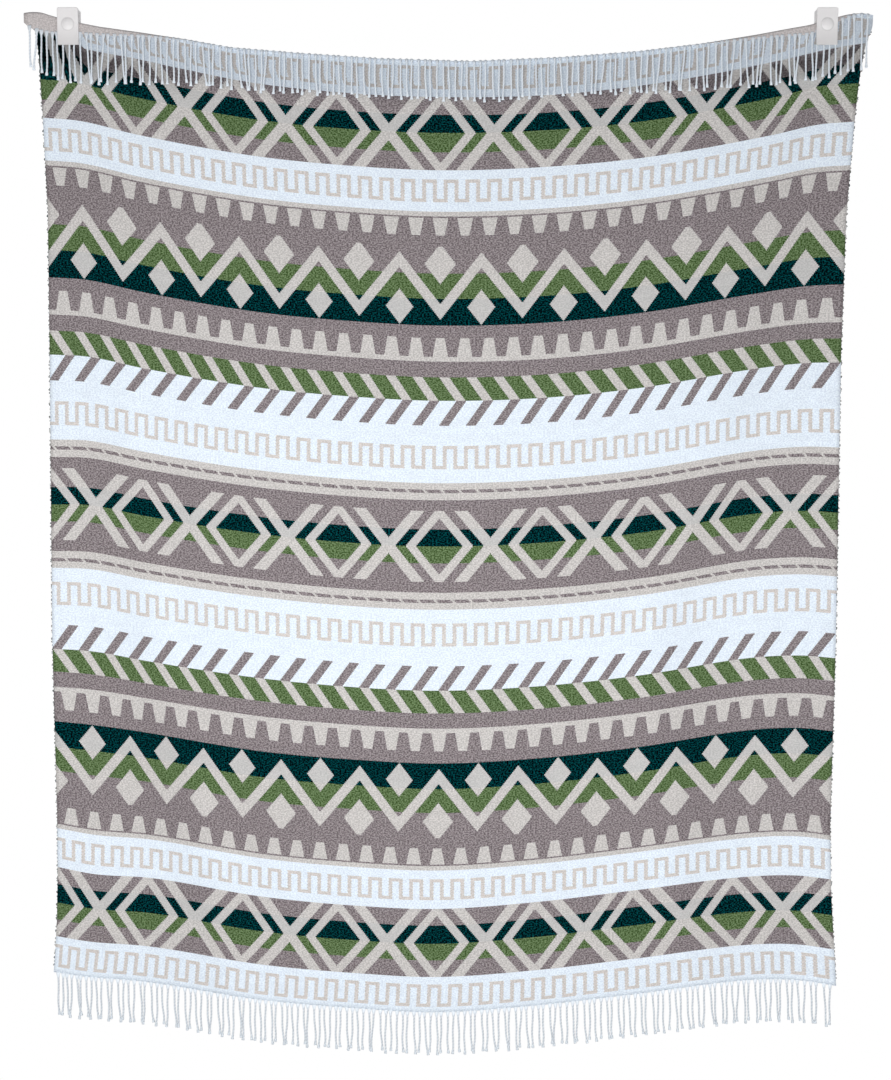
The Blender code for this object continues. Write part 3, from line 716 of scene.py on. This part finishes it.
# Rows of places down the cloth for each column: even steps along what is turned over, finer round the turn,
# then even steps down the front; the sheet is the middle layer moved half its thickness each way.
def makeBlanket():
    across = np.linspace(-1.0, 1.0, cloth["columns"])
    _, turned, radius = topEdge(across)
    used = np.minimum(np.pi * radius, 0.8 * turned)
    flap = np.linspace(0, 1, cloth["flapRows"])[:-1, None] * (turned - used)
    turn = turned - used + np.linspace(0, 1, cloth["turnRows"])[:, None] * used
    front = turned + (hang["length"] - turned) * np.linspace(0, 1, cloth["frontRows"])[1:, None]
    downs = np.concatenate([flap, turn, front])
    grid = np.broadcast_to(across, downs.shape)
    middle, normal = clothPoint(grid, downs), clothNormal(grid, downs)
    rows, cols = downs.shape
    half = hang["thick"] / 2
    verts = np.concatenate([(middle + normal * half).reshape(-1, 3), (middle - normal * half).reshape(-1, 3)])
    flat = np.stack([grid * cloth["flatWidth"] / 2, downs + tuckedLength(grid, downs)], axis=-1)
    uv = np.concatenate([flat.reshape(-1, 2), flat.reshape(-1, 2)])
    frontFaces = gridFaces(rows, cols)
    backFaces = gridFaces(rows, cols, start=rows * cols)[:, ::-1]
    index = np.arange(rows * cols).reshape(rows, cols)
    rim = np.concatenate([index[0, :-1], index[:-1, -1], index[-1, :0:-1], index[:0:-1, 0]])
    nextRim = np.roll(rim, -1)
    rimFaces = np.stack([nextRim, rim, rim + rows * cols, nextRim + rows * cols], axis=-1)
    slots = np.concatenate([np.zeros(len(frontFaces)), np.ones(len(backFaces)), np.zeros(len(rimFaces))])
    # the patterned side's quads must face along its normal
    quad = verts[frontFaces[0]]
    faceNormal = np.cross(quad[1] - quad[0], quad[2] - quad[0])
    flip = np.dot(faceNormal, normal.reshape(-1, 3)[frontFaces[0][0]]) < 0
    faces = np.concatenate([frontFaces, backFaces, rimFaces])
    if flip:
        faces = faces[:, ::-1]
    # painted shade of the front and the back, kept in the mesh
    paintedShading = np.concatenate([part.ravel() for part in clothPaintedShading(grid, downs)])
    smooth = np.arange(len(faces)) < 2 * len(frontFaces)
    return newPiece("wovenBlanket", verts, faces, uv=uv, faceSlot=slots, smooth=smooth,
                    mats=(clothFront, clothBack), paintedShading=paintedShading)


# Loops of yarn along both selvedges: each a half circle that leaves the edge and comes back a little lower,
# with a four-sided section; reach, turn and tilt come from sums of sines.
selvedge = {"loops": 380, "steps": 6, "sides": 4, "radius": 0.00055, "reach": 0.0017, "pitch": 0.0022,
            "start": 0.034, "endGaps": 0.040}


def makeSelvedge():
    steps, sides = selvedge["steps"], selvedge["sides"]
    n = np.arange(selvedge["loops"])
    down = selvedge["start"] + (hang["length"] - selvedge["endGaps"]) * (n + 0.4 * np.sin(2.3 * n)) / len(n)
    around = np.linspace(0, np.pi, steps)[None, :]
    places = down[:, None] - selvedge["pitch"] / 2 * np.cos(around)
    paths = []
    for side in (-1, 1):
        reach = selvedge["reach"] * (0.75 + 0.45 * np.sin(5.1 * n + side) + 0.25 * np.sin(1.3 * n))
        edge = clothPoint(np.full(places.shape, float(side)), places)
        edge[..., 0] += side * (reach[:, None] * np.sin(around) - 0.0004)
        edge[..., 1] += 0.0010 * np.sin(3.7 * n + side)[:, None] * np.sin(around)
        paths.append(edge)
    paths = np.concatenate(paths)
    tangent = np.gradient(paths, axis=1)
    tangent /= np.linalg.norm(tangent, axis=-1, keepdims=True)
    flat = np.broadcast_to(np.array([0.0, 1.0, 0.0]), tangent.shape)
    first = np.cross(tangent, flat)
    first /= np.linalg.norm(first, axis=-1, keepdims=True)
    second = np.cross(tangent, first)
    angle = np.linspace(0, 2 * np.pi, sides, endpoint=False)[None, None, :, None]
    turn = np.cos(angle) * first[:, :, None, :] + np.sin(angle) * second[:, :, None, :]
    ring = paths[:, :, None, :] + selvedge["radius"] * turn
    last = sides * steps - 1
    caps = [[0, 1, 2, 3], [last, last - 1, last - 2, last - 3]]
    faces = np.concatenate([gridFaces(steps, sides, closed=True), caps])
    allFaces = (faces[None, :, :] + (np.arange(len(paths)) * steps * sides)[:, None, None]).reshape(-1, 4)
    piece = newPiece("selvedgeLoops", ring.reshape(-1, 3), allFaces, mats=(selvedgeYarn,))
    return faceOut(piece)


# Turns every shell's faces outwards.
def faceOut(piece):
    shell = bmesh.new()
    shell.from_mesh(piece.data)
    bmesh.ops.recalc_face_normals(shell, faces=shell.faces)
    shell.to_mesh(piece.data)
    shell.free()
    return piece


blanket = makeBlanket()
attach(blanket, "root")
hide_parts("blanket")
selvedgeLoops = makeSelvedge()
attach(selvedgeLoops, "root")
print("blanket woven:", len(blanket.data.polygons), "faces, selvedge", len(selvedgeLoops.data.polygons))

# The fringes
fringe = {
    "strands": 140, "steps": 44, "sides": 10, "radius": 0.00132, "bottomRadius": 0.00136, "lobe": 0.26,
    "twistPerMetre": 190.0, "tipLength": 0.0090, "tipRadius": 0.0023, "rootLength": 0.0085,
    "rootRadius": 0.0030, "smallSway": 0.0022, "bigSway": 0.0065, "pairSway": 0.0022, "bottom": 0.0640,
    # across, height where a top strand ends
    "topTips": (
        (-1.0, -0.050), (-0.975, -0.066), (-0.946, -0.072), (-0.90, -0.081), (-0.85, -0.0853),
        (-0.65, -0.0862), (-0.567, -0.0875), (-0.423, -0.0980), (-0.25, -0.1028), (0.0, -0.1100),
        (0.14, -0.1115), (0.25, -0.1035), (0.40, -0.1005), (0.52, -0.0984), (0.67, -0.0912),
        (0.80, -0.0859), (0.86, -0.0808), (0.905, -0.0742), (0.95, -0.0680), (1.0, -0.0620),
    ),
}


# Even places across with a slight unevenness; drift, length and phase from sums of sines, so every run
# agrees. Wide is a share from 0 to 1 that jumps about from strand to strand.
def strandPlaces(turn):
    n = np.arange(fringe["strands"])
    across = np.clip(-0.986 + 1.972 * (n + 0.12 * np.sin(2.1 * n)) / (len(n) - 1), -0.988, 0.988)
    wide = np.sin(12.9898 * (n + turn)) * 43758.5453
    wide = wide - np.floor(wide)
    small = 0.6 * np.sin(1.7 * (n + turn) + 0.4) + 0.4 * np.sin(3.1 * (n + turn))
    drift = np.where(wide > 0.88, fringe["bigSway"] * np.sign(np.sin(5.3 * n + turn)) * (0.5 + 0.4 * wide),
                     fringe["smallSway"] * small)
    longer = 0.0025 * np.sin(2.7 * (n + turn) + 1.0)
    return across, drift, longer, 2 * np.pi * wide


# A two-ply yarn: round the path, radius = base times (1 + lobe * cos(2 * (angle - twist * length along))),
# where the base is wide at the root, narrows to the yarn's own, and opens to a brush at the tip.
# The painted shading darkens the groove between the plies, less so at the tip, and darkens the root, or
# paints it lighter where rootShade is below zero.
def yarnTubes(name, paths, yarnRadius, phase, contrast, rootShade):
    count, steps = paths.shape[:2]
    tangent = np.gradient(paths, axis=1)
    tangent /= np.linalg.norm(tangent, axis=-1, keepdims=True)
    acrossDir = np.broadcast_to(np.array([1.0, 0.0, 0.0]), tangent.shape)
    acrossDir = acrossDir - (acrossDir * tangent).sum(-1, keepdims=True) * tangent
    acrossDir = acrossDir / np.linalg.norm(acrossDir, axis=-1, keepdims=True)
    outDir = np.cross(tangent, acrossDir)
    stretch = np.linalg.norm(np.diff(paths, axis=1), axis=-1)
    along = np.concatenate([np.zeros((count, 1)), np.cumsum(stretch, axis=1)], axis=1)
    toTip = along[:, -1:] - along
    sides = fringe["sides"]
    angle = np.linspace(0, 2 * np.pi, sides, endpoint=False)
    root = 1 - ease(along, 0.002, 0.002 + fringe["rootLength"])
    tip = 1 - ease(toTip, 0.0, fringe["tipLength"])
    base = yarnRadius + (fringe["rootRadius"] - yarnRadius) * root + (fringe["tipRadius"] - yarnRadius) * tip
    turned = np.pi * fringe["twistPerMetre"] * along[..., None]
    twist = np.cos(2 * (angle[None, None, :] - turned + phase[:, None, None]))
    plies = (1 - root - 0.6 * tip)[..., None]
    radius = base[..., None] * (1 + fringe["lobe"] * plies * twist)
    # the root lies flat on the cloth, the rest is round
    squash = 1 - 0.45 * root[..., None, None]
    ring = paths[:, :, None, :] + radius[..., None] * (
        np.cos(angle)[None, None, :, None] * acrossDir[:, :, None, :]
        + squash * np.sin(angle)[None, None, :, None] * outDir[:, :, None, :])
    # painted shading of the strand: groove between the plies, tip and root
    paintedShading = 0.90 + contrast * plies * twist + 0.10 * tip[..., None] - rootShade * root[..., None]
    tube = gridFaces(steps, sides, closed=True)[:, ::-1]
    caps = np.array([[0, k, k + 1, k + 2] for k in range(1, sides - 2, 2)])
    faces = np.concatenate([tube, caps, (caps + (steps - 1) * sides)[:, ::-1]])
    allFaces = (faces[None, :, :] + (np.arange(count) * steps * sides)[:, None, None]).reshape(-1, 4)
    return newPiece(name, ring.reshape(-1, 3), allFaces, mats=(fringeYarn,), paintedShading=paintedShading)


# The upper strands follow the cloth's own surface past its turned edge, and swing aside towards their ends.
def makeTopFringe():
    across, drift, longer, phase = strandPlaces(0)
    table = np.array(fringe["topTips"])
    crest, turned, radius = topEdge(across)
    fall = crest - radius - hang["thick"] / 2 - np.interp(across, table[:, 0], table[:, 1])
    length = fall - (turned - np.pi * radius) + longer
    share = np.linspace(0, 1, fringe["steps"])[None, :]
    down = 0.003 - (length[:, None] + 0.003) * share
    paths = clothPoint(np.broadcast_to(across[:, None], down.shape), down)
    paths[..., 0] += drift[:, None] * share**1.4 + 0.0007 * np.sin(7 * share + phase[:, None]) * share
    paths[..., 1] -= 0.0006 + 0.0006 * np.sin(3 * share + phase[:, None]) ** 2 * share
    return yarnTubes("topFringeYarn", paths, fringe["radius"], phase, 0.12, 0.12)


# The lower strands hang in pairs that lean together, with a slow lean of the whole row besides.
def makeBottomFringe():
    across, drift, longer, phase = strandPlaces(37)
    n = np.arange(len(across))
    lean = 0.5 * drift + fringe["pairSway"] * (1 - 2 * (n % 2)) + 0.0030 * ease(across, -0.2, 0.6)
    share = np.linspace(0, 1, fringe["steps"])[None, :]
    drop = -0.001 + (fringe["bottom"] + 0.0054 + longer[:, None]) * share
    root = clothPoint(across, hang["length"])
    paths = np.repeat(root[:, None, :], fringe["steps"], axis=1)
    paths[..., 2] -= drop
    paths[..., 0] += lean[:, None] * share**1.3 + 0.0010 * np.sin(8 * share + phase[:, None]) * share
    paths[..., 1] += 0.0008 * np.sin(5 * share + 1.7 * phase[:, None]) * share
    # painted light at the lower roots, with deeper painted shade in the ply grooves
    return yarnTubes("bottomFringeYarn", paths, fringe["bottomRadius"], phase, 0.24, -0.28)


topFringe, bottomFringe = makeTopFringe(), makeBottomFringe()
for piece, node in ((topFringe, "top_fringe"), (bottomFringe, "bottom_fringe")):
    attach(piece, "root")
    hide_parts(node)
print("fringes twisted:", len(topFringe.data.polygons), "and", len(bottomFringe.data.polygons), "faces")

# The clips
for node in ("left_clip_base", "left_clip_jaw", "right_clip_base", "right_clip_jaw"):
    part = bpy.data.objects[node] if node in bpy.data.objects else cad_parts[node]
    part.data.materials.clear()
    part.data.materials.append(clipPlastic)
print("clips finished")

# Stage, light and camera
stage = {
    "floorZ": -2.05, "floorHalf": 9.0, "floorColour": (0.80, 0.80, 0.80, 1), "floorRoughness": 0.9,
    "skyColour": (0.93, 0.96, 1.0, 1), "skyStrength": 0.30,
    "distance": 2.7, "pitchSine": 0.10125, "aim": (-0.0031, -0.02, -0.7827), "pixelsPerMetre": 641.3,
    "framePixels": 1080, "sensor": 24.0,
    # name, place, aim, size, watts
    "lights": (
        ("keyLight", (-0.60, -1.75, -0.62), (0.0, 0.0, -0.82), (0.8, 0.8), 12),
        ("frontLight", (0.30, -1.75, -0.98), (0.0, 0.0, -0.88), (2.2, 0.5), 16),
        ("sideLight", (-2.0, -1.5, -0.75), (0.0, 0.0, -0.80), (0.8, 0.8), 6.5),
        ("sideLight", (2.0, -1.5, -0.75), (0.0, 0.0, -0.80), (0.8, 0.8), 6.5),
        ("backLight", (0.0, 3.0, -0.3), (0.0, 0.0, -0.80), (1.5, 1.5), 30),
    ),
}


# Camera rays meet one shader, and all other rays the other.
def splitForCamera(tree, seen, others, surface):
    rays, mixer = tree.nodes.new("ShaderNodeLightPath"), tree.nodes.new("ShaderNodeMixShader")
    tree.links.new(rays.outputs["Is Camera Ray"], mixer.inputs[0])
    tree.links.new(others.outputs[0], mixer.inputs[1])
    tree.links.new(seen.outputs[0], mixer.inputs[2])
    tree.links.new(mixer.outputs[0], surface)


# A rectangular light that faces a point.
def areaLight(name, at, aim, size, power):
    light = bpy.data.lights.new(name, "AREA")
    light.shape, light.size, light.size_y, light.energy = "RECTANGLE", size[0], size[1], power
    lamp = bpy.data.objects.new(name, light)
    lamp.location = at
    lamp.rotation_euler = (Vector(aim) - Vector(at)).to_track_quat("-Z", "Y").to_euler()
    bpy.context.scene.collection.objects.link(lamp)


corners = [(x * stage["floorHalf"], y * stage["floorHalf"], stage["floorZ"])
           for x, y in ((-1, -1), (1, -1), (1, 1), (-1, 1))]
floor = newPiece("paleFloor", corners, [[0, 1, 2, 3]], smooth=False)
# the camera sees the floor and the sky as plain white, and other rays see a pale matt floor and a dimmer sky
floorMat, floorTree, floorShader = blankShader("paleFloor")
floorShader.inputs["Base Color"].default_value = stage["floorColour"]
floorShader.inputs["Roughness"].default_value = stage["floorRoughness"]
splitForCamera(floorTree, floorTree.nodes.new("ShaderNodeEmission"), floorShader,
               floorTree.nodes["Material Output"].inputs["Surface"])
floor.data.materials.append(floorMat)

for light in stage["lights"]:
    areaLight(*light)

world = bpy.data.worlds.new("studio")
bpy.context.scene.world = world
world.use_nodes = True
sky = world.node_tree
background, white = sky.nodes["Background"], sky.nodes.new("ShaderNodeBackground")
background.inputs["Color"].default_value = stage["skyColour"]
background.inputs["Strength"].default_value = stage["skyStrength"]
white.inputs["Color"].default_value = (1, 1, 1, 1)
white.inputs["Strength"].default_value = 1.0
splitForCamera(sky, white, background, sky.nodes["World Output"].inputs["Surface"])

bpy.context.scene.view_settings.view_transform = "Standard"
camera = bpy.data.objects.new("camera", bpy.data.cameras.new("camera"))
bpy.context.scene.collection.objects.link(camera)
camera.data.sensor_fit, camera.data.sensor_height = "VERTICAL", stage["sensor"]
camera.data.lens = stage["sensor"] * stage["distance"] * stage["pixelsPerMetre"] / stage["framePixels"]
cosine = math.sqrt(1 - stage["pitchSine"] ** 2)
aim = Vector(stage["aim"])
camera.location = aim + Vector((0, -stage["distance"] * cosine, stage["distance"] * stage["pitchSine"]))
camera.rotation_euler = (aim - camera.location).to_track_quat("-Z", "Y").to_euler()
camera.data.clip_end = 50
bpy.context.scene.camera = camera
print("stage, lights and camera set")
